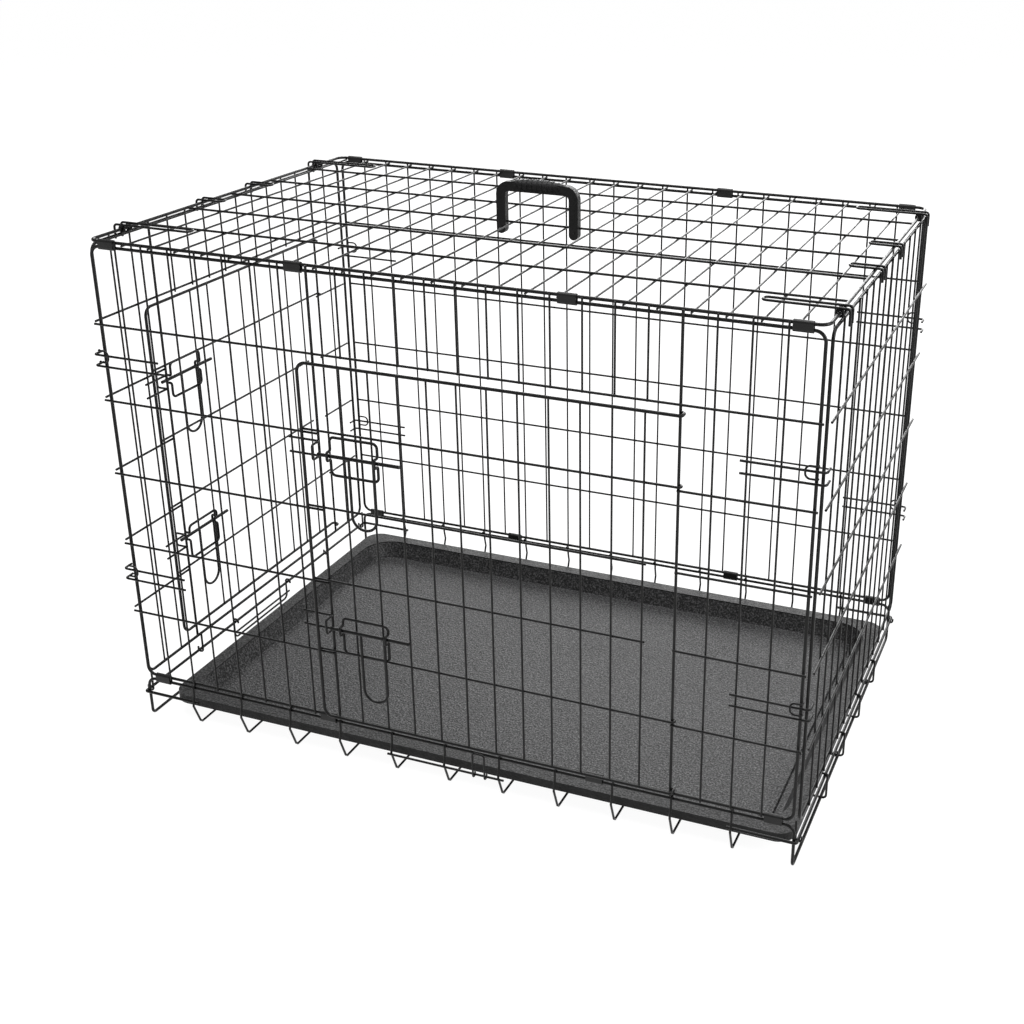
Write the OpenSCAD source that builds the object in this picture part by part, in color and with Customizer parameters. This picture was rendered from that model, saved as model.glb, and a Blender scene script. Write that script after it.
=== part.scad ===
// Folding wire dog crate, 36 inch class, with two doors, a plastic pan and a carry handle.
// Units are millimetres. +Z is up, the front panel faces -Y and the end with a door faces -X.
// The origin is on the floor, under the centre of the crate.

/* [Sub-part] */
// Which sub-part to draw

/* [Overall] */
// Spacing of the upright wires in the front, back and top panels
pitch_x = 37.9; // [30:0.1:46]
// Number of spaces between uprights along the length
bays_x = 24; // [24:2:24]
// Spacing of the upright wires in the end panels
pitch_y = 38.1; // [30:0.1:40]
// Distance from the centre to the front and back frame wires
side_y = 292; // [280:1:305]
// Height of the bottom frame wire of the front and back panels
panel_z0 = 66; // [66:0.5:72]
// Height of the top frame wire of the front and back panels
panel_z1 = 664.9; // [640:0.1:700]
// Spacing of the horizontal rails
rail_pitch = 100.37; // [95:0.01:105]
// Number of horizontal rails on each panel
rail_count = 5; // [5:1:5]

/* [Wires] */
// Diameter of the frame wires
frame_d = 4; // [3.6:0.1:4]
// Diameter of the rails
rail_d = 3; // [2.6:0.1:3]
// Diameter of the upright wires
upright_d = 2.5; // [2:0.1:2.6]
// Diameter of the jamb and hinge uprights
jamb_d = 3.4; // [3:0.1:3.4]
// Diameter of the base cross wires and long wires
base_d = 3; // [2.6:0.1:3]
// Bend radius of the frame wires
frame_r = 12; // [8:0.5:12]
// How far two welded wires sink into each other
weld = 0.1; // [0.05:0.05:0.2]

/* [Doors] */
// Height of the bottom wire of each door
door_z0 = 72; // [72:0.5:74]
// Height of the top wire of each door
door_z1 = 556; // [550:0.5:558]
// How far each door's free edge passes its jamb
door_lap = 18.4; // [16:0.1:20]
// Height of the upper slide bolt
bolt_z_hi = 445; // [442:0.5:448]
// Height of the lower slide bolt
bolt_z_lo = 208; // [206:0.5:214]
// Diameter of the slide bolt rods
bolt_d = 4.5; // [4:0.1:4.5]
// Length of the slide bolt rods
bolt_len = 110; // [100:1:112]

/* [Base and pan] */
// Height of the base rim wire
rim_z = 58.7; // [57:0.1:58.7]
// Spacing of the base cross wires
cross_pitch = 76.2; // [76:0.1:76.4]
// Height of the low wires that the end panels hinge on
hinge_z = 38; // [36:0.5:38]
// Half length of the pan
pan_x = 443; // [430:1:443]
// Offset of the pan's middle towards the plain end
pan_dx = 10; // [0:0.5:10]
// Half width of the pan
pan_y = 279; // [270:1:281]
// Height of the pan's rim above the floor
pan_top = 32.7; // [30:0.1:32.7]
// Thickness of the pan's plastic
pan_t = 2.5; // [2:0.1:3]

/* [Handle] */
// Centre of the handle along the length
handle_x = 9; // [5:0.5:12]
// Height of the grip's centre above its pivot wire
handle_h = 49; // [45:0.5:52]
// Diameter of the grip
grip_d = 16; // [14:0.5:17]

/* [Hidden] */
$fn = 48;
half_n = bays_x / 2;
post_x = 455;                                  // front and back frame posts
post_y = 285;                                  // end panel frame posts
up_y = side_y + frame_d / 2 + upright_d / 2 - weld;      // uprights, outside the frame wire
jamb_y = side_y + frame_d / 2 + jamb_d / 2 - 3 * weld;
rail_y = up_y + upright_d / 2 + rail_d / 2 - weld;       // rails, outside the uprights
rail_end = 460;
up_top = 672;
up_bottom = panel_z0 - 1.4;
rail_z0 = 165.6;
top_z = panel_z1 + 6.5;                        // top panel frame
top_x = 457;
top_y = side_y - 0.3;
thin_top_z = top_z - frame_d / 2 - upright_d / 2 + weld;
long_top_z = thin_top_z + upright_d / 2 + rail_d / 2 - weld;
thin_top_dx = 8;
long_top_y = 97.35;
end_x = 460.5;                                 // end panel frame
end_z0 = 62;
end_z1 = panel_z1;
end_up_x = end_x + frame_d / 2 + upright_d / 2 - weld;
end_jamb_x = end_x + frame_d / 2 + jamb_d / 2 - 3 * weld;
end_rail_x = end_up_x + upright_d / 2 + rail_d / 2 - weld;
end_rail_y = 288.5;
end_count = 14;
end_up_top = 670;
hinge_x = 461.2;                               // low end wires
low_y = 295.8;
low_back = 375;
rim_x = 457;
foot_z = 2.2;
long_z = foot_z + base_d - weld;
front_jamb = 8;
front_hinge = 20;
end_jamb = 3;
end_hinge = 13;
run = 0.25;                                    // running clearance of a wire loop on its wire
bolt_travel = 22;
black = [0.07, 0.07, 0.075];
steel = [0.25, 0.25, 0.26];
plastic = [0.13, 0.13, 0.135];

kink = 0.06;                                   // a kink's ball is this much thicker than its wire

function unit(v) = v / norm(v);
function rail_z(i) = rail_z0 + rail_pitch * (i - 1);
function up_x(i) = pitch_x * (i - half_n);
function end_up_y(k) = pitch_y * (k - (end_count + 1) / 2);

// A straight round wire from a to b
module rod(a, b, d) {
    w = unit(b - a);
    helper = abs(w[2]) < 0.9 ? [0, 0, 1] : [1, 0, 0];
    u = unit(cross(helper, w));
    v = cross(w, u);
    multmatrix([[u[0], v[0], w[0], a[0]], [u[1], v[1], w[1], a[1]], [u[2], v[2], w[2], a[2]]])
        cylinder(h = norm(b - a), d = d);
}

// The round bend at corner p of a wire that comes from a and goes on to b
module bend(a, p, b, d, r) {
    u = unit(p - a);
    v = unit(b - p);
    turn = acos(u * v);
    n = unit(cross(u, v));
    w = cross(n, u);
    s = p - u * r * tan(turn / 2);
    c = s + w * r;
    multmatrix([[-w[0], u[0], n[0], c[0]], [-w[1], u[1], n[1], c[1]], [-w[2], u[2], n[2], c[2]]])
        rotate_extrude(angle = turn)
            translate([r, 0])
                circle(d = d);
}

function setback(a, p, b, r) = r * tan(acos(unit(p - a) * unit(b - p)) / 2);

// A bent wire through the points pts, with bend radius r[i] at point i, or a rounded kink where it is 0
module wire(pts, d, r, closed = false) {
    n = len(pts);
    last = closed ? n - 1 : n - 2;
    for (i = [0 : last]) {
        j = (i + 1) % n;
        a = pts[i];
        b = pts[j];
        at_start = (closed || i > 0) ? setback(pts[(i + n - 1) % n], a, b, r[i]) : 0;
        at_end = (closed || j < n - 1) ? setback(a, b, pts[(j + 1) % n], r[j]) : 0;
        w = unit(b - a);
        rod(a + w * at_start, b - w * at_end, d);
    }
    for (i = [(closed ? 0 : 1) : (closed ? n - 1 : n - 2)])
        if (r[i] > 0)
            bend(pts[(i + n - 1) % n], pts[i], pts[(i + 1) % n], d, r[i]);
        else
            translate(pts[i])
                sphere(d = d + kink);
}

function same(n, r) = [for (i = [1 : n]) r];

// Part of a ring of wire round an axis along z, from angle a0 through sweep
module ring_z(d, r, a0, sweep) {
    rotate([0, 0, a0])
        rotate_extrude(angle = sweep)
            translate([r, 0])
                circle(d = d);
}

// Both mirror copies in y
module both_y() {
    children();
    mirror([0, 1, 0]) children();
}

// ---------------------------------------------------------------- base

module base_rim() {
    color(black)
        wire([[-rim_x, -side_y, rim_z], [-rim_x, -side_y, frame_d / 2],
              [-rim_x, side_y, frame_d / 2], [-rim_x, side_y, rim_z],
              [rim_x, side_y, rim_z], [rim_x, side_y, frame_d / 2],
              [rim_x, -side_y, frame_d / 2], [rim_x, -side_y, rim_z]],
             frame_d, [frame_r, 6, 6, frame_r, frame_r, 6, 6, frame_r], closed = true);
}

cross_top_z = rim_z + frame_d / 2 + base_d / 2 - weld;
cross_leg_y = 295.8;

// Half of one cross wire, from its tip over the rim to the floor
cross_half = [[0, -289.6, cross_top_z], [0, -cross_leg_y, cross_top_z], [0, -cross_leg_y, 49],
              [0, -299.4, 34], [0, -288.4, 5.6], [0, -284.4, foot_z]];

function flip_y(pts) = [for (i = [len(pts) - 1 : -1 : 0]) [pts[i][0], -pts[i][1], pts[i][2]]];

module base_cross_wires() {
    color(black)
        for (k = [-5 : 5])
            translate([k * cross_pitch, 0, 0])
                wire(concat(cross_half, flip_y(cross_half)),
                     base_d, [0, 2.6, 0, 0, 0, 0, 0, 0, 0, 0, 2.6, 0]);
}

module end_wire() {
    wire([[-low_back, -low_y, hinge_z], [-hinge_x, -low_y, hinge_z],
          [-hinge_x, low_y, hinge_z], [-low_back, low_y, hinge_z]],
         frame_d, [0, 3, 3, 0]);
}

module base_end_wires() {
    color(black) {
        end_wire();
        mirror([1, 0, 0]) end_wire();
    }
}

long_out_x = hinge_x + frame_d / 2 + base_d / 2 - weld;
long_over_z = hinge_z + frame_d / 2 + base_d / 2 - weld;

module base_long_wires() {
    color(black)
        for (y = [-150, -50, 50, 150])
            wire([[-459.5, y, long_z], [long_out_x, y, long_z],
                  [long_out_x, y, long_over_z], [457.5, y, long_over_z]],
                 base_d, [0, 5, 2.6, 0]);
}

clip_wire_y = 302.3;
clip_wire_z = 34;

module base_clip_wire() {
    color(black)
        rod([-80, -clip_wire_y, clip_wire_z], [85, -clip_wire_y, clip_wire_z], base_d);
}

// ---------------------------------------------------------------- front, back and top panels

module side_frame() {
    wire([[-post_x, -side_y, panel_z0], [post_x, -side_y, panel_z0],
          [post_x, -side_y, panel_z1], [-post_x, -side_y, panel_z1]],
         frame_d, same(4, frame_r), closed = true);
}

module front_frame() {
    color(black) side_frame();
}

module back_frame() {
    color(black) mirror([0, 1, 0]) side_frame();
}

module upright(i, z0) {
    rod([up_x(i), -up_y, z0], [up_x(i), -up_y, up_top], upright_d);
}

module front_uprights() {
    color(black) {
        for (i = [1 : front_jamb - 1])
            upright(i, up_bottom);
        for (i = [front_jamb + 1 : front_hinge - 1])
            upright(i, rail_z(rail_count) - 2.5);
        for (i = [front_hinge + 1 : bays_x - 1])
            upright(i, up_bottom);
    }
}

module back_uprights() {
    color(black)
        mirror([0, 1, 0])
            for (i = [1 : bays_x - 1])
                upright(i, up_bottom);
}

module front_jambs() {
    color(black)
        for (i = [front_jamb, front_hinge])
            rod([up_x(i), -jamb_y, up_bottom], [up_x(i), -jamb_y, up_top], jamb_d);
}

module front_rails() {
    color(black) {
        rod([-rail_end, -rail_y, rail_z(rail_count)], [rail_end, -rail_y, rail_z(rail_count)], rail_d);
        for (i = [1 : rail_count - 1]) {
            rod([-rail_end, -rail_y, rail_z(i)], [up_x(front_jamb) + 1, -rail_y, rail_z(i)], rail_d);
            rod([up_x(front_hinge) - 1, -rail_y, rail_z(i)], [rail_end, -rail_y, rail_z(i)], rail_d);
        }
    }
}

module back_rails() {
    color(black)
        for (i = [1 : rail_count])
            rod([-rail_end, rail_y, rail_z(i)], [rail_end, rail_y, rail_z(i)], rail_d);
}

hook_gap = 14.5;
hook_in = 372;
hook_out = 467;
hook_loop_y = rail_y + rail_d / 2 + upright_d / 2 - weld;

// Two long hooks and the loop that ties them, on the panel's left post
module side_hook(z) {
    for (h = [0, hook_gap])
        wire([[-hook_in, -rail_y, z + h], [-hook_out, -rail_y, z + h], [-hook_out, -283, z + h]],
             rail_d, [0, 4, 0]);
    wire([[-458, -rail_y, z + hook_gap + 7], [-458, -hook_loop_y, z + hook_gap + 7],
          [-444, -hook_loop_y, z + hook_gap + 7], [-444, -hook_loop_y, z + hook_gap - 8],
          [-458, -hook_loop_y, z + hook_gap - 8], [-458, -rail_y, z + hook_gap - 8]],
         upright_d, [0, 1.6, 6, 6, 1.6, 0]);
}

module side_hooks() {
    side_hook(512);
    side_hook(213);
    mirror([1, 0, 0]) {
        side_hook(499);
        side_hook(209);
    }
}

module front_side_hooks() {
    color(black) side_hooks();
}

module back_side_hooks() {
    color(black) mirror([0, 1, 0]) side_hooks();
}

module top_frame() {
    color(black)
        wire([[-top_x, -top_y, top_z], [top_x, -top_y, top_z],
              [top_x, top_y, top_z], [-top_x, top_y, top_z]],
             frame_d, same(4, frame_r), closed = true);
}

module top_cross_wires() {
    color(black)
        for (j = [-half_n : half_n - 1])
            rod([j * pitch_x + thin_top_dx, -top_y - 1, thin_top_z],
                [j * pitch_x + thin_top_dx, top_y + 1, thin_top_z], upright_d);
}

module top_long_wires() {
    color(black)
        for (j = [-2 : 2])
            rod([-top_x + frame_d / 2 - weld, j * long_top_y, long_top_z],
                [top_x - frame_d / 2 + weld, j * long_top_y, long_top_z], rail_d);
}

stop_z = top_z + frame_d / 2 + rail_d / 2 - weld;
stop_half = 6.5;

// A hairpin on the top panel that reaches over the end panel's top wire and stops it
module top_stop(y) {
    wire([[-467.2, y - stop_half, 659], [-467.2, y - stop_half, stop_z],
          [-427, y - stop_half, stop_z], [-427, y + stop_half, stop_z],
          [-467.2, y + stop_half, stop_z], [-467.2, y + stop_half, 659]],
         rail_d, [0, 4, 6, 6, 4, 0]);
}

module top_stops() {
    color(black)
        for (y = [-1.5 * pitch_y, 1.5 * pitch_y]) {
            top_stop(y);
            mirror([1, 0, 0]) top_stop(y);
        }
}

clip_t = 1.3;

// A sheet-metal clip round two wires, h apart, from x0 to x1
module sheet_clip(x0, x1, z, h) {
    r_in = frame_d / 2 + 0.1;
    r_out = r_in + clip_t;
    translate([x0, 0, z])
        rotate([90, 0, 90])
            linear_extrude(x1 - x0)
                difference() {
                    union() {
                        circle(r = r_out);
                        translate([0, h]) circle(r = r_out);
                        translate([-r_out, 0]) square([2 * r_out, h]);
                    }
                    circle(r = r_in);
                    translate([0, h]) circle(r = r_in);
                    translate([-r_in, 0]) square([2 * r_in, h]);
                }
}

module top_clips() {
    color(steel)
        both_y()
            translate([0, -side_y + 0.15, 0])
                for (x = [-442, -181.5, 160, 420])
                    sheet_clip(x, x + 22, panel_z1, top_z - panel_z1);
}

module bottom_clips() {
    color(steel)
        both_y()
            translate([0, -side_y, 0])
                for (x = [-442, -181.5, 193, 420])
                    sheet_clip(x, x + 22, rim_z, panel_z0 - rim_z);
}

// ---------------------------------------------------------------- doors
// Each door is drawn with its hinge wire on the z axis, the door along -x and the outside at -y.

loop_r = jamb_d / 2 + run + frame_d / 2;
door_rail_v = jamb_d / 2 + run + rail_d / 2;
door_up_v = door_rail_v + rail_d / 2 + upright_d / 2 - weld;
door_edge_v = 6.7;
door_rail_up = 4.4;

module door_frame(bays, pitch) {
    free = bays * pitch + door_lap;
    bent = loop_r - 0.2;
    wire([[-2, loop_r, door_z1], [loop_r, loop_r, door_z1], [loop_r, -door_edge_v, door_z1],
          [-free, -door_edge_v, door_z1], [-free, -door_edge_v, door_z0],
          [loop_r, -door_edge_v, door_z0], [loop_r, loop_r, door_z0], [-2, loop_r, door_z0]],
         frame_d, [0, bent, bent, frame_r, frame_r, bent, bent, 0]);
}

module door_uprights(bays, pitch) {
    for (i = [1 : bays - 1])
        rod([-i * pitch, -door_up_v, door_z0 + 1.5], [-i * pitch, -door_up_v, door_z1 - 1.5], upright_d);
}

module door_rails(bays, pitch) {
    free = bays * pitch + door_lap;
    for (i = [1 : rail_count - 1]) {
        z = rail_z(i) + door_rail_up;
        hinged = i == 1 || i == rail_count - 1;
        rod([-free - 1.5, -door_rail_v, z], [hinged ? 0 : -pitch + 3, -door_rail_v, z], rail_d);
        if (hinged)
            translate([0, 0, z])
                ring_z(rail_d, door_rail_v, -90, 200);
    }
}

guide_d = 3.5;
guide_in = 20.6;                               // from the jamb to the guide's first side
guide_w = 64;
guide_v = door_up_v + upright_d / 2 + guide_d / 2 - weld;
bolt_v = guide_v + guide_d + 0.3;
bulge_v = bolt_v + bolt_d / 2 + 0.3 + guide_d / 2;
bulge_h = 5.5;
hoop_v = bolt_v + bolt_d / 2 + 1.2 + rail_d / 2;

// The wire loop on the door that the slide bolt runs through
module bolt_guide(bays, pitch, z, up, down) {
    x0 = -bays * pitch + guide_in;
    x1 = x0 + guide_w;
    wire([[x0, -guide_v, z + up], [x1, -guide_v, z + up],
          [x1, -guide_v, z + bulge_h], [x1, -bulge_v, z + bulge_h],
          [x1, -bulge_v, z - bulge_h], [x1, -guide_v, z - bulge_h],
          [x1, -guide_v, z - down], [x0, -guide_v, z - down],
          [x0, -guide_v, z - bulge_h], [x0, -bulge_v, z - bulge_h],
          [x0, -bulge_v, z + bulge_h], [x0, -guide_v, z + bulge_h]],
         guide_d, [6, 6, 2.5, 2.5, 2.5, 2.5, 6, 6, 2.5, 2.5, 2.5, 2.5], closed = true);
}

guide_up_hi = rail_z(rail_count - 1) + door_rail_up - rail_d / 2 - guide_d / 2 + weld - bolt_z_hi;

module door_guides(bays, pitch) {
    bolt_guide(bays, pitch, bolt_z_hi, guide_up_hi, 26);
    bolt_guide(bays, pitch, bolt_z_lo, 16, 33.5);
}

// A slide bolt: a rod with a hanging wire pull
module bolt(bays, pitch, z, drop) {
    hoop_x = -bays * pitch + 1.5;
    tip = hoop_x + rail_d / 2 + 2.4;
    leg_b = -bays * pitch + guide_in + guide_w - guide_d - 0.15;
    leg_a = leg_b - 33.4;
    r = (leg_b - leg_a) / 2;
    rod([tip, -bolt_v, z], [tip + bolt_len, -bolt_v, z], bolt_d);
    wire([[leg_a, -bolt_v, z + 0.4], [leg_a, -bolt_v, z - drop],
          [leg_b, -bolt_v, z - drop], [leg_b, -bolt_v, z + 0.4]],
         guide_d, [0, r - 0.4, r - 0.4, 0]);
}

// The keeper on the panel: a wire that stands out as a hoop round the bolt
module keeper(bays, pitch, z, inner_v) {
    hoop_x = -bays * pitch + 1.5;
    back_x = -(bays + 1) * pitch - 2;
    wire([[back_x, -inner_v, z + 12.5], [hoop_x, -inner_v, z + 12.5], [hoop_x, -hoop_v, z + 12.5],
          [hoop_x, -hoop_v, z - 6.5], [hoop_x, -inner_v, z - 6.5], [back_x, -inner_v, z - 6.5]],
         rail_d, [0, 3, 3, 3, 3, 0]);
}

module keepers(bays, pitch, inner_v) {
    for (z = [bolt_z_hi, bolt_z_lo])
        keeper(bays, pitch, z, inner_v);
}

module at_front() {
    translate([up_x(front_hinge), -jamb_y, 0]) children();
}

module at_end() {
    translate([-end_jamb_x, end_up_y(end_hinge), 0]) mirror([1, -1, 0]) children();
}

front_bays = front_hinge - front_jamb;
end_bays = end_hinge - end_jamb;

module front_keepers() {
    color(black) at_front() keepers(front_bays, pitch_x, rail_y - jamb_y);
}

module front_door_frame() {
    color(black) at_front() door_frame(front_bays, pitch_x);
}

module front_door_uprights() {
    color(black) at_front() door_uprights(front_bays, pitch_x);
}

module front_door_rails() {
    color(black) at_front() door_rails(front_bays, pitch_x);
}

module front_door_guides() {
    color(black) at_front() door_guides(front_bays, pitch_x);
}

module front_bolt_upper() {
    color(black) at_front() bolt(front_bays, pitch_x, bolt_z_hi, 91);
}

module front_bolt_lower() {
    color(black) at_front() bolt(front_bays, pitch_x, bolt_z_lo, 95);
}

module left_keepers() {
    color(black) at_end() keepers(end_bays, pitch_y, end_rail_x - end_jamb_x);
}

module end_door_frame() {
    color(black) at_end() door_frame(end_bays, pitch_y);
}

module end_door_uprights() {
    color(black) at_end() door_uprights(end_bays, pitch_y);
}

module end_door_rails() {
    color(black) at_end() door_rails(end_bays, pitch_y);
}

module end_door_guides() {
    color(black) at_end() door_guides(end_bays, pitch_y);
}

module end_bolt_upper() {
    color(black) at_end() bolt(end_bays, pitch_y, bolt_z_hi, 91);
}

module end_bolt_lower() {
    color(black) at_end() bolt(end_bays, pitch_y, bolt_z_lo, 95);
}

// ---------------------------------------------------------------- end panels
// Drawn for the left end; the right end is the mirror image without a door.

module end_frame() {
    wire([[-end_x, -post_y, end_z0], [-end_x, post_y, end_z0],
          [-end_x, post_y, end_z1], [-end_x, -post_y, end_z1]],
         frame_d, same(4, frame_r), closed = true);
}

module end_upright(k, z0) {
    rod([-end_up_x, end_up_y(k), z0], [-end_up_x, end_up_y(k), end_up_top], upright_d);
}

module end_rail(i, y0, y1) {
    rod([-end_rail_x, y0, rail_z(i)], [-end_rail_x, y1, rail_z(i)], rail_d);
}

j_r = frame_d / 2 + rail_d / 2 + 0.4;

// A hook that hangs the end panel on its low wire
module j_hook(y) {
    wire([[-hinge_x + j_r, y, end_z0 + 1], [-hinge_x + j_r, y, hinge_z - j_r],
          [-hinge_x - j_r, y, hinge_z - j_r], [-hinge_x - j_r, y, hinge_z + 3]],
         rail_d, [0, j_r - 0.2, j_r - 0.2, 0]);
}

module left_frame() {
    color(black) end_frame();
}

module left_uprights() {
    color(black) {
        for (k = [1 : end_jamb - 1])
            end_upright(k, end_z0 - 1.5);
        for (k = [end_jamb + 1 : end_hinge - 1])
            end_upright(k, rail_z(rail_count) - 2.5);
        for (k = [end_hinge + 1 : end_count])
            end_upright(k, end_z0 - 1.5);
    }
}

module left_jambs() {
    color(black)
        for (k = [end_jamb, end_hinge])
            rod([-end_jamb_x, end_up_y(k), end_z0 - 1.5], [-end_jamb_x, end_up_y(k), end_up_top], jamb_d);
}

module left_rails() {
    color(black) {
        end_rail(rail_count, -end_rail_y, end_rail_y);
        for (i = [1 : rail_count - 1]) {
            end_rail(i, -end_rail_y, end_up_y(end_jamb) + 1);
            end_rail(i, end_up_y(end_hinge) - 1, end_rail_y);
        }
    }
}

module left_hooks() {
    color(black)
        for (y = [-post_y, end_up_y(3), end_up_y(12), post_y])
            j_hook(y);
}

module right_frame() {
    color(black) mirror([1, 0, 0]) end_frame();
}

module right_uprights() {
    color(black)
        mirror([1, 0, 0])
            for (k = [1 : end_count])
                end_upright(k, end_z0 - 1.5);
}

module right_rails() {
    color(black)
        mirror([1, 0, 0])
            for (i = [1 : rail_count])
                end_rail(i, -end_rail_y, end_rail_y);
}

module right_hooks() {
    color(black)
        mirror([1, 0, 0])
            for (y = [-post_y, end_up_y(5), end_up_y(10), post_y])
                j_hook(y);
}

// ---------------------------------------------------------------- levers, handle, pan

lever_out = 11.2;
lever_over = 5.2;
lever_under = -13;

// A two-pronged lever hook on the top's left end wire. ya and yb are its prongs, ta and tb its tip.
module lever(ya, yb, reach) {
    x0 = -top_x - lever_out;
    z0 = top_z + lever_under;
    z1 = top_z + lever_over;
    wire([[x0, ya, z0], [x0, ya, z1], [-top_x + reach, ya, z1],
          [-top_x + reach, yb, z1], [x0, yb, z1], [x0, yb, z0]],
         rail_d, [0, 4, 5, 5, 4, 0]);
}

module lever_left_front() {
    color(black) lever(-230, -217, 99);
}

module lever_left_back() {
    color(black) mirror([0, 1, 0]) lever(-230, -217, 99);
}

module lever_right_front() {
    color(black) mirror([1, 0, 0]) lever(-243.5, -230.5, 84);
}

module lever_right_back() {
    color(black) mirror([1, 0, 0]) mirror([0, 1, 0]) lever(-243.5, -230.5, 84);
}

handle_half = 50.5;
arch_r = 11.5;
leg_w = 12.6;
leg_t = 10;
bar_z = handle_h - 2.3;
pin_d = 2.2;

// Half of the handle's arch: a leg, its round foot and the corner
module handle_side() {
    translate([handle_half - leg_w / 2, -leg_t / 2, -9])
        cube([leg_w, leg_t, bar_z - arch_r + 9]);
    translate([handle_half, leg_t / 2, -9])
        rotate([90, 0, 0])
            cylinder(h = leg_t, d = leg_w);
    translate([handle_half - arch_r, 0, bar_z - arch_r])
        rotate([90, 0, 0])
            rotate_extrude(angle = 90)
                translate([arch_r - leg_w / 2, -leg_t / 2])
                    square([leg_w, leg_t]);
}

function grip_r(x) = grip_d / 2 - 3.5 * pow(x / 38, 2);

// The oval, ribbed middle of the handle
module grip() {
    translate([0, 0, handle_h])
        rotate([0, 90, 0]) {
            rotate_extrude()
                polygon(concat([[0, -38]], [for (i = [-4 : 4]) [grip_r(i * 9.5), i * 9.5]], [[0, 38]]));
            for (i = [-4 : 4])
                translate([0, 0, i * 7 - 1.1])
                    cylinder(h = 2.2, r = grip_r(i * 7) + 0.6);
        }
}

module handle() {
    color(plastic)
        translate([handle_x, 0, long_top_z])
            difference() {
                union() {
                    grip();
                    handle_side();
                    mirror([1, 0, 0]) handle_side();
                    translate([arch_r - handle_half, -leg_t / 2, bar_z - leg_w / 2])
                        cube([2 * (handle_half - arch_r), leg_t, leg_w]);
                }
                translate([-80, 0, 0])
                    rotate([0, 90, 0])
                        cylinder(h = 160, r = rail_d / 2 + 0.1);
            }
}

module handle_pins() {
    color(steel)
        translate([handle_x, 0, long_top_z])
            for (s = [-1, 1])
                translate([s * handle_half, leg_t / 2 + 0.8, -6.5])
                    rotate([90, 0, 0])
                        cylinder(h = leg_t + 1.6, d = pin_d);
}

rim_w = 19.3;
rim_r = 25;
well_r = 45;
skirt_z = 20.5;
pan_z0 = long_z + base_d / 2 + 0.1;
pan_floor = pan_z0 + pan_t;

// A flat plate with rounded corners, of half sizes hx and hy, from z0 to z1
module plate(hx, hy, r, z0, z1) {
    translate([r - hx, -hy, z0])
        cube([2 * (hx - r), 2 * hy, z1 - z0]);
    translate([-hx, r - hy, z0])
        cube([2 * hx, 2 * (hy - r), z1 - z0]);
    for (sx = [-1, 1], sy = [-1, 1])
        translate([sx * (hx - r), sy * (hy - r), z0])
            cylinder(h = z1 - z0, r = r);
}

// Cross-section of the pan's wall and groove, from the corner centre outwards
module pan_profile() {
    polygon([[0, pan_floor], [well_r - 24.1, pan_floor], [well_r - 22.1, pan_z0], [well_r - 10.5, pan_z0],
             [well_r + 2.2, pan_top - 1.2], [well_r + 0.2, pan_top - 1.2],
             [well_r - 12.2, pan_floor], [well_r - 20.7, pan_floor],
             [well_r - 22.7, pan_floor + pan_t], [0, pan_floor + pan_t]]);
}

module pan_rim() {
    difference() {
        plate(pan_x, pan_y, rim_r, skirt_z, pan_top);
        plate(pan_x - pan_t, pan_y - pan_t, rim_r - pan_t, skirt_z - 1, pan_top - pan_t);
        plate(pan_x - rim_w, pan_y - rim_w, well_r, skirt_z, pan_top + 1);
    }
}

module pan() {
    cx = pan_x - rim_w - well_r;
    cy = pan_y - rim_w - well_r;
    color(plastic)
        translate([pan_dx, 0, 0]) {
            pan_rim();
            for (a = [0 : 3]) {
                sx = (a == 0 || a == 3) ? 1 : -1;
                sy = a < 2 ? 1 : -1;
                translate([sx * cx, sy * cy, 0])
                    rotate([0, 0, a * 90])
                        rotate_extrude(angle = 90)
                            pan_profile();
            }
            for (s = [0, 180])
                rotate([0, 0, s]) {
                    translate([cx, cy, 0])
                        rotate([90, 0, 0])
                            linear_extrude(2 * cy)
                                pan_profile();
                    translate([-cx, cy, 0])
                        rotate([90, 0, 90])
                            linear_extrude(2 * cx)
                                pan_profile();
                }
            translate([-cx, -cy, pan_floor])
                cube([2 * cx, 2 * cy, pan_t]);
        }
}

gate_y0 = -84;
gate_y1 = 57;
gate_r = frame_d / 2 + base_d / 2 + 0.35;

// The wire gate that hangs on the left low wire and keeps the pan in
module pan_gate() {
    xo = -hinge_x - gate_r;
    xi = -hinge_x + gate_r;
    zt = hinge_z + gate_r;
    bent = gate_r - 0.2;
    color(black) {
        wire([[xi, gate_y0, hinge_z - 2], [xi, gate_y0, zt], [xo, gate_y0, zt], [xo, gate_y0, 9.2],
              [xo, gate_y1, 9.2], [xo, gate_y1, zt], [xi, gate_y1, zt], [xi, gate_y1, hinge_z - 2]],
             base_d, [0, bent, bent, 8, 8, bent, bent, 0]);
        rod([xo + base_d - weld, gate_y0 - 3, 20], [xo + base_d - weld, gate_y1 + 3, 20], base_d);
    }
}

clip_leg_d = 2.5;
clip_x0 = 44;
clip_x1 = 60;
clip_r = rail_d / 2 + clip_leg_d / 2 + 0.3;

// The wire catch on the front of the base
module front_clip() {
    yo = -clip_wire_y - clip_r;
    yi = -clip_wire_y + clip_r;
    zb = clip_wire_z - clip_r;
    bent = clip_r - 0.2;
    color(black)
        wire([[clip_x0, yi, clip_wire_z + 2], [clip_x0, yi, zb], [clip_x0, yo, zb], [clip_x0, yo, 67],
              [clip_x1, yo, 67], [clip_x1, yo, zb], [clip_x1, yi, zb], [clip_x1, yi, clip_wire_z + 2]],
             clip_leg_d, [0, bent, bent, 4, 4, bent, bent, 0]);
}

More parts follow.
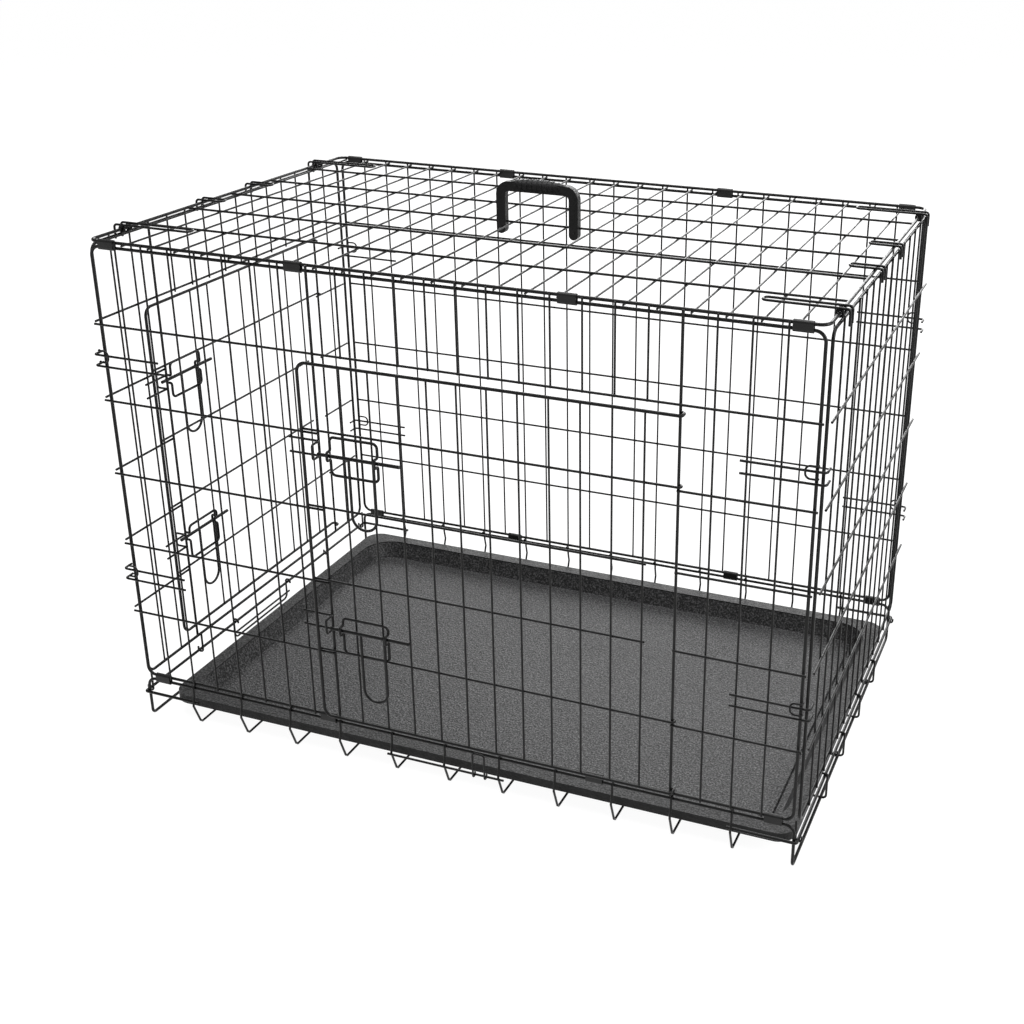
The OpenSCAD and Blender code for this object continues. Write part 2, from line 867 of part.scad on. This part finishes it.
base_rim();
base_cross_wires();
base_end_wires();
base_long_wires();
base_clip_wire();
front_frame();
front_uprights();
front_jambs();
front_rails();
front_keepers();
front_side_hooks();
back_frame();
back_uprights();
back_rails();
back_side_hooks();
top_frame();
top_cross_wires();
top_long_wires();
top_stops();
top_clips();
bottom_clips();
front_door_frame();
front_door_uprights();
front_door_rails();
front_door_guides();
front_bolt_upper();
front_bolt_lower();
left_frame();
left_uprights();
left_jambs();
left_rails();
left_hooks();
left_keepers();
end_door_frame();
end_door_uprights();
end_door_rails();
end_door_guides();
end_bolt_upper();
end_bolt_lower();
right_frame();
right_uprights();
right_rails();
right_hooks();
lever_left_front();
lever_left_back();
lever_right_front();
lever_right_back();
handle();
handle_pins();
pan();
pan_gate();
front_clip();
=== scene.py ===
import math

import bpy
from mathutils import Matrix, Vector


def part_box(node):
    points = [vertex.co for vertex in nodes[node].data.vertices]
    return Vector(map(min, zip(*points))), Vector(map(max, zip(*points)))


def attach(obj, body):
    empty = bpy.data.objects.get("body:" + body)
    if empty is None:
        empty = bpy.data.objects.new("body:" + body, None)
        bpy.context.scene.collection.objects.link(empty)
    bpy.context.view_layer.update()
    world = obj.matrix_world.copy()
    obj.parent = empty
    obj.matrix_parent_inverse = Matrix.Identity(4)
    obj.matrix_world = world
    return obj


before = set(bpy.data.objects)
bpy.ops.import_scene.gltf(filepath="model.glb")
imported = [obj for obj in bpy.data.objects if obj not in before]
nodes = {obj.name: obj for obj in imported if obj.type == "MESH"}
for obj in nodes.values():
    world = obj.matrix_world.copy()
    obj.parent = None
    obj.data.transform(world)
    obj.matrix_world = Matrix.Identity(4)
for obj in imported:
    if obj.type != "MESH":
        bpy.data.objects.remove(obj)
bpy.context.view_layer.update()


# ---------------------------------------------------------------- materials

# Powder coat: noise scales per metre, and the orange-peel skin's bump.
PATCH_SCALE, WEAR_SCALE, PEEL_SCALE = 38.0, 210.0, 900.0
PEEL_STRENGTH, PEEL_DEPTH = 0.25, 0.0004

# Moulded plastic: slow change of tint, pebble grain and its two bumps.
TINT_SCALE = 3.2
PEBBLE_STRENGTH, PEBBLE_DEPTH = 0.5, 0.001
GRAIN_STRENGTH, GRAIN_DEPTH = 0.5, 0.0008
PLASTIC_GLOSS = 0.2
# Painted shade on the pan's rim: its colour there is the side colour times this.
RIM_PAINTED_SHADE = 0.8

# The pan's painted shade starts at the first height and is darkest from the second up to its
# top edge, in metres.
RIM_PAINTED_SHADE_LOW, RIM_PAINTED_SHADE_HIGH = 0.0315, 0.0322


def new_material(name):
    mat = bpy.data.materials.new(name)
    mat.use_nodes = True
    tree = mat.node_tree
    return mat, tree, tree.nodes["Principled BSDF"]


def add(tree, kind, **values):
    """A new node with its inputs set by name."""
    node = tree.nodes.new(kind)
    for key, value in values.items():
        node.inputs[key].default_value = value
    return node


def noise(tree, coords, scale, detail=3.0, rough=0.55):
    node = add(tree, "ShaderNodeTexNoise",
               Scale=scale, Detail=detail, Roughness=rough)
    tree.links.new(coords.outputs["Object"], node.inputs["Vector"])
    return node.outputs["Fac"]


def ramp(tree, factor, stops):
    """A colour ramp; each of its two stops is a place and a grey or a colour."""
    node = tree.nodes.new("ShaderNodeValToRGB")
    tree.links.new(factor, node.inputs["Fac"])
    for element, (place, value) in zip(node.color_ramp.elements, stops):
        element.position = place
        colour = value if isinstance(value, tuple) else (value,) * 3
        element.color = (*colour, 1)
    return node.outputs["Color"]


def bump(tree, bsdf, height, strength, distance, below=None):
    """Bump on the shader's normal, on top of the bump below if there is one."""
    node = add(tree, "ShaderNodeBump", Strength=strength, Distance=distance)
    tree.links.new(height, node.inputs["Height"])
    if below is not None:
        tree.links.new(below, node.inputs["Normal"])
    tree.links.new(node.outputs["Normal"], bsdf.inputs["Normal"])
    return node.outputs["Normal"]


def powder_coat(name, dark, light, rough_low, rough_high, gloss):
    """Black powder coat: orange-peel skin, faint dust and rubbed spots."""
    mat, tree, bsdf = new_material(name)
    coords = tree.nodes.new("ShaderNodeTexCoord")
    patches = noise(tree, coords, PATCH_SCALE, 4.0)
    tree.links.new(ramp(tree, patches, [(0.35, dark), (0.72, light)]),
                   bsdf.inputs["Base Color"])
    wear = noise(tree, coords, WEAR_SCALE, 2.0)
    tree.links.new(ramp(tree, wear, [(0.3, rough_low), (0.7, rough_high)]),
                   bsdf.inputs["Roughness"])
    peel = noise(tree, coords, PEEL_SCALE, 2.0)
    bump(tree, bsdf, peel, PEEL_STRENGTH, PEEL_DEPTH)
    bsdf.inputs["Metallic"].default_value = 0.0
    bsdf.inputs["Specular IOR Level"].default_value = gloss
    return mat


def painted_top_light(tree):
    """1 on faces that look up, 0 on upright ones: the mask of the painted light on the tops.
    """
    geometry = tree.nodes.new("ShaderNodeNewGeometry")
    split = tree.nodes.new("ShaderNodeSeparateXYZ")
    tree.links.new(geometry.outputs["Normal"], split.inputs[0])
    return ramp(tree, split.outputs["Z"], [(0.05, 0.0), (0.75, 1.0)])


def mixed(tree, factor, first, second):
    """Blend of two colours or colour sockets."""
    node = tree.nodes.new("ShaderNodeMix")
    node.data_type = "RGBA"
    tree.links.new(factor, node.inputs["Factor"])
    for socket, value in ((node.inputs[6], first), (node.inputs[7], second)):
        if isinstance(value, tuple):
            socket.default_value = (*value, 1)
        else:
            tree.links.new(value, socket)
    return node.outputs[2]


def height_fade(tree, coords, low, high, at_low, at_high):
    """A factor that goes from at_low to at_high between two heights, in metres."""
    split = tree.nodes.new("ShaderNodeSeparateXYZ")
    tree.links.new(coords.outputs["Object"], split.inputs[0])
    fade = tree.nodes.new("ShaderNodeMapRange")
    tree.links.new(split.outputs["Z"], fade.inputs["Value"])
    for socket, value in (("From Min", low), ("From Max", high),
                          ("To Min", at_low), ("To Max", at_high)):
        fade.inputs[socket].default_value = value
    return fade.outputs["Result"]


def grained_plastic(name, side, dark, light, speck, grain_scale, rough, rim_shade=None):
    """Moulded plastic: pebble grain with pale specks, put only where it looks up as painted
    light on the tops, plain on its sides, and painted shade near the top when heights are
    given for it to fade between."""
    mat, tree, bsdf = new_material(name)
    coords = tree.nodes.new("ShaderNodeTexCoord")
    tint = ramp(tree, noise(tree, coords, TINT_SCALE, 3.0), [(0.3, dark), (0.7, light)])
    fine = noise(tree, coords, grain_scale, 2.0, 0.6)
    specks = ramp(tree, fine, [(0.46, 0.0), (0.66, 1.0)])
    grained = mixed(tree, specks, tint, (speck, speck, speck * 1.02))
    # Painted light: tint, grain and pale specks go only on faces that look up, so the tops
    # read lighter than the plain sides.
    colour = mixed(tree, painted_top_light(tree), (side,) * 3, grained)
    # Painted shade: between the given heights the colour fades towards a darker copy of the
    # side colour.
    if rim_shade:
        colour = mixed(tree, height_fade(tree, coords, *rim_shade), colour,
                       (side * RIM_PAINTED_SHADE,) * 3)
    tree.links.new(colour, bsdf.inputs["Base Color"])
    tree.links.new(ramp(tree, noise(tree, coords, grain_scale * 0.5),
                        [(0.3, rough - 0.07), (0.7, rough + 0.1)]),
                   bsdf.inputs["Roughness"])
    cells = add(tree, "ShaderNodeTexVoronoi", Scale=grain_scale * 0.8)
    tree.links.new(coords.outputs["Object"], cells.inputs["Vector"])
    pebbles = bump(tree, bsdf, cells.outputs["Distance"], PEBBLE_STRENGTH, PEBBLE_DEPTH)
    bump(tree, bsdf, fine, GRAIN_STRENGTH, GRAIN_DEPTH, pebbles)
    bsdf.inputs["Specular IOR Level"].default_value = PLASTIC_GLOSS
    return mat


COAT = powder_coat("powder_coat", dark=0.0025, light=0.006,
                   rough_low=0.26, rough_high=0.4, gloss=0.22)
CLIP = powder_coat("clip_coat", dark=0.005, light=0.011,
                   rough_low=0.34, rough_high=0.5, gloss=0.3)
# The pan's tops carry painted light and its rim painted shade.
PAN = grained_plastic("pan_plastic", side=0.008, dark=(0.0045, 0.0045, 0.0047),
                      light=(0.009, 0.009, 0.0093), speck=0.1, grain_scale=420.0,
                      rough=0.52, rim_shade=(RIM_PAINTED_SHADE_LOW, RIM_PAINTED_SHADE_HIGH, 0.0, 0.5))
GRIP = grained_plastic("handle_plastic", side=0.006, dark=(0.007, 0.007, 0.0075),
                       light=(0.012, 0.012, 0.0125), speck=0.028, grain_scale=1100.0,
                       rough=0.4)

# Every node not listed here is coated wire.
SPECIAL = {"top_clips": CLIP, "bottom_clips": CLIP, "handle_pins": CLIP,
           "pan": PAN, "handle": GRIP}


def dress_nodes():
    for name, obj in nodes.items():
        material = SPECIAL.get(name, COAT)
        if not obj.material_slots:
            obj.data.materials.append(material)
        for slot in obj.material_slots:
            slot.material = material


dress_nodes()


# ---------------------------------------------------------------- small wire details

LEVER_WIRE_R = 0.0015
EYE_R = 0.0037         # middle of the end wire to the middle of the wound wire
EYE_STEPS = 28
END_WIRE_INSET = 0.002  # from the top frame's outer face in to its wire's middle
LEVER_BODIES = {"lever_left_front": "lever_lf", "lever_left_back": "lever_lb",
                "lever_right_front": "lever_rf", "lever_right_back": "lever_rb"}


def tube(name, path, radius, body, sides=14):
    """A closed loop of round wire along path, as a mesh."""
    points = [Vector(p) for p in path]
    count = len(points)
    verts, faces = [], []
    normal = None
    for i, point in enumerate(points):
        along = (points[(i + 1) % count] - points[i - 1]).normalized()
        if normal is None:
            normal = along.orthogonal().normalized()
        normal = (normal - along * normal.dot(along)).normalized()
        other = along.cross(normal)
        j = (i + 1) % count
        for k in range(sides):
            angle = 2 * math.pi * k / sides
            verts.append(point + (normal * math.cos(angle) + other * math.sin(angle)) * radius)
            m = (k + 1) % sides
            faces.append((i * sides + k, i * sides + m, j * sides + m, j * sides + k))
    mesh = bpy.data.meshes.new(name)
    mesh.from_pydata([tuple(v) for v in verts], [], faces)
    for face in mesh.polygons:
        face.use_smooth = True
    mesh.materials.append(COAT)
    obj = bpy.data.objects.new(name, mesh)
    bpy.context.scene.collection.objects.link(obj)
    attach(obj, body)


def lever_eyes():
    """The eyes of each corner lever's prongs, wound round the top panel's end wire."""
    low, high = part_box("top_frame")
    axis_x, axis_z = high[0] - END_WIRE_INSET, (low[2] + high[2]) / 2
    for lever, body in LEVER_BODIES.items():
        low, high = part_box(lever)
        side = 1 if high[0] > 0 else -1
        for n, y in enumerate((low[1] + LEVER_WIRE_R, high[1] - LEVER_WIRE_R)):
            turns = [2 * math.pi * i / EYE_STEPS for i in range(EYE_STEPS)]
            path = [(side * axis_x + EYE_R * math.cos(turn), y,
                     axis_z + EYE_R * math.sin(turn)) for turn in turns]
            tube("%s_eye_%d" % (lever, n), path, LEVER_WIRE_R, body)


lever_eyes()


# ---------------------------------------------------------------- stage, light and camera

FLOOR_HALF = 24.0
FLOOR_GREY, FLOOR_GLOW = 0.13, 0.95
ROOM_STRENGTH, BACKDROP_STRENGTH = 0.3, 1.0
WHITE = (1, 1, 1, 1)

# The photo's camera, solved from the crate's corners: metres, radians, and the
# view's shift as a fraction of its width.
LENS_MM, SENSOR_MM = 50.11875, 36
SHIFT_X, SHIFT_Y = -0.1134277344, -0.0436523438
EYE = (0.7436, -1.6574, 1.0956)
TURN, DIP, ROLL = 0.3514, 0.3987, 0.0124
CLIP_START = 0.05


def stage_floor():
    mesh = bpy.data.meshes.new("floor")
    size = FLOOR_HALF
    mesh.from_pydata([(-size, -size, 0), (size, -size, 0), (size, size, 0), (-size, size, 0)],
                     [], [(0, 1, 2, 3)])
    obj = bpy.data.objects.new("floor", mesh)
    bpy.context.scene.collection.objects.link(obj)
    mat, tree, bsdf = new_material("pale_floor")
    bsdf.inputs["Base Color"].default_value = (FLOOR_GREY, FLOOR_GREY, FLOOR_GREY, 1)
    bsdf.inputs["Emission Color"].default_value = WHITE
    bsdf.inputs["Emission Strength"].default_value = FLOOR_GLOW
    bsdf.inputs["Roughness"].default_value = 0.9
    bsdf.inputs["Specular IOR Level"].default_value = 0.1
    mesh.materials.append(mat)


def area_light(name, place, target, size, power):
    data = bpy.data.lights.new(name, "AREA")
    data.shape = "RECTANGLE"
    data.size, data.size_y = size
    data.energy = power
    obj = bpy.data.objects.new(name, data)
    obj.location = place
    aim = Vector(target) - Vector(place)
    obj.rotation_euler = aim.to_track_quat("-Z", "Y").to_euler()
    bpy.context.scene.collection.objects.link(obj)


def studio():
    """A white backdrop to the camera, a dimmer room to the object, and soft boxes
    for the sheen."""
    world = bpy.data.worlds.new("studio")
    world.use_nodes = True
    tree = world.node_tree
    room = tree.nodes["Background"]
    room.inputs["Color"].default_value = WHITE
    room.inputs["Strength"].default_value = ROOM_STRENGTH
    backdrop = add(tree, "ShaderNodeBackground", Color=WHITE, Strength=BACKDROP_STRENGTH)
    path = tree.nodes.new("ShaderNodeLightPath")
    mix = tree.nodes.new("ShaderNodeMixShader")
    tree.links.new(path.outputs["Is Camera Ray"], mix.inputs[0])
    tree.links.new(room.outputs[0], mix.inputs[1])
    tree.links.new(backdrop.outputs[0], mix.inputs[2])
    tree.links.new(mix.outputs[0], tree.nodes["World Output"].inputs["Surface"])
    scene = bpy.context.scene
    scene.world = world
    scene.view_settings.view_transform = "Standard"
    area_light("key", place=(2.9, -0.2, 1.5), target=(0.1, 0, 0.35),
               size=(1.2, 1.2), power=70)
    area_light("top", place=(-0.1, 0.2, 3.4), target=(0, 0, 0),
               size=(3.2, 3.2), power=150)
    area_light("rear", place=(-0.6, 3.4, 1.5), target=(0.1, 0.1, 0.0),
               size=(3.4, 1.6), power=110)


def camera():
    data = bpy.data.cameras.new("camera")
    data.sensor_width = SENSOR_MM
    data.lens = LENS_MM
    data.shift_x, data.shift_y = SHIFT_X, SHIFT_Y
    data.clip_start = CLIP_START
    ahead = Vector((-math.sin(TURN) * math.cos(DIP), math.cos(TURN) * math.cos(DIP),
                    -math.sin(DIP)))
    level = Vector((math.cos(TURN), math.sin(TURN), 0))
    right = level * math.cos(ROLL) + level.cross(ahead) * math.sin(ROLL)
    up = right.cross(ahead)
    pose = Matrix.Identity(4)
    for row in range(3):
        pose[row] = (right[row], up[row], -ahead[row], EYE[row])
    obj = bpy.data.objects.new("camera", data)
    obj.matrix_world = pose
    bpy.context.scene.collection.objects.link(obj)
    bpy.context.scene.camera = obj


stage_floor()
studio()
camera()
